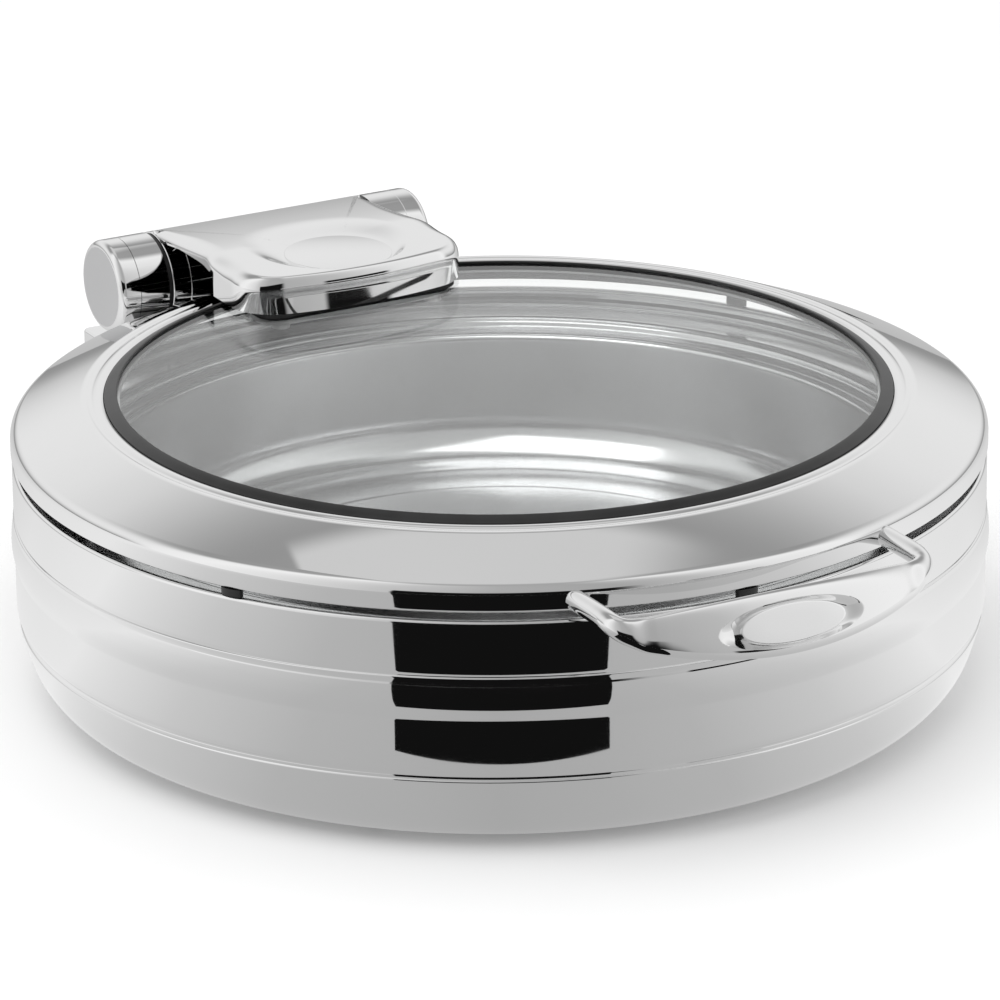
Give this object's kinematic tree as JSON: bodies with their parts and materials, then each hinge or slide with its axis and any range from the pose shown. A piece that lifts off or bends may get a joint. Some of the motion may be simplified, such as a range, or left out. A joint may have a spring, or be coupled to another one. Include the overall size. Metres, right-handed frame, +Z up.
{
  "type": "round induction chafer",
  "caption": "Round polished-steel chafer: ribbed water bowl, lift-out food pan and a glass-windowed lid on a damped barrel hinge, lifted by a crescent front handle.",
  "frame": {"origin": "centre of the flat underside, on the bowl's axis", "axes": "+Z up along the bowl's axis, -Y towards the lid's handle, +Y towards the hinge, +X to the right seen from the handle"},
  "size_m": [0.4871, 0.5812, 0.1746],
  "materials": {
    "polished_steel": "mirror-polished stainless steel",
    "pan_steel": "bright satin stainless steel",
    "satin_steel": "satin stainless steel",
    "core_aluminium": "plain aluminium",
    "tempered_glass": "clear tempered glass",
    "black_silicone": "black silicone, semi-gloss",
    "pad_rubber": "black rubber",
    "fastener_steel": "plain stainless steel",
    "spring_steel": "oiled spring steel",
    "bush_bronze": "sintered bronze",
    "washer_plastic": "black acetal",
    "damper_plastic": "black glass-filled nylon"
  },
  "bodies": {
    "base": {"body_shell": "polished_steel", "induction_core": "core_aluminium", "induction_cap": "satin_steel", "pan_ledge": "pan_steel", "bracket_pad": "satin_steel", "hinge_bracket": "polished_steel", "bracket_screws": "fastener_steel", "bracket_cover": "satin_steel", "cover_screws": "fastener_steel", "hinge_axle": "fastener_steel", "axle_nuts": "fastener_steel", "left_thrust_washer": "washer_plastic", "right_thrust_washer": "washer_plastic", "torsion_spring": "spring_steel", "damper_rotor": "damper_plastic", "left_end_cap": "polished_steel", "right_end_cap": "polished_steel"},
    "pan": {"food_pan": "pan_steel"},
    "lid": {"lid_ring": "polished_steel", "lid_glass": "tempered_glass", "glass_gasket": "black_silicone", "glass_retainer": "satin_steel", "lid_bumpers": "black_silicone", "hinge_arm": "polished_steel", "left_bush": "bush_bronze", "right_bush": "bush_bronze", "upper_pad": "pad_rubber", "lower_pad": "pad_rubber", "clamp_plate": "satin_steel", "clamp_screws": "fastener_steel", "arm_medallion": "polished_steel", "lid_handle": "polished_steel", "handle_badge": "polished_steel", "handle_spacers": "fastener_steel", "handle_screws": "fastener_steel", "damper_cartridge": "damper_plastic"}
  },
  "joints": [
    {"name": "lid_hinge", "type": "hinge", "parent": "base", "child": "lid", "pos_m": [0, 0.266, 0.1413], "axis": [-1, 0, 0], "range_deg": [0, 90]},
    {"name": "pan_lift", "type": "slide", "parent": "base", "child": "pan", "axis": [0, 0, 1], "range_m": [0, 0.008]}
  ]
}
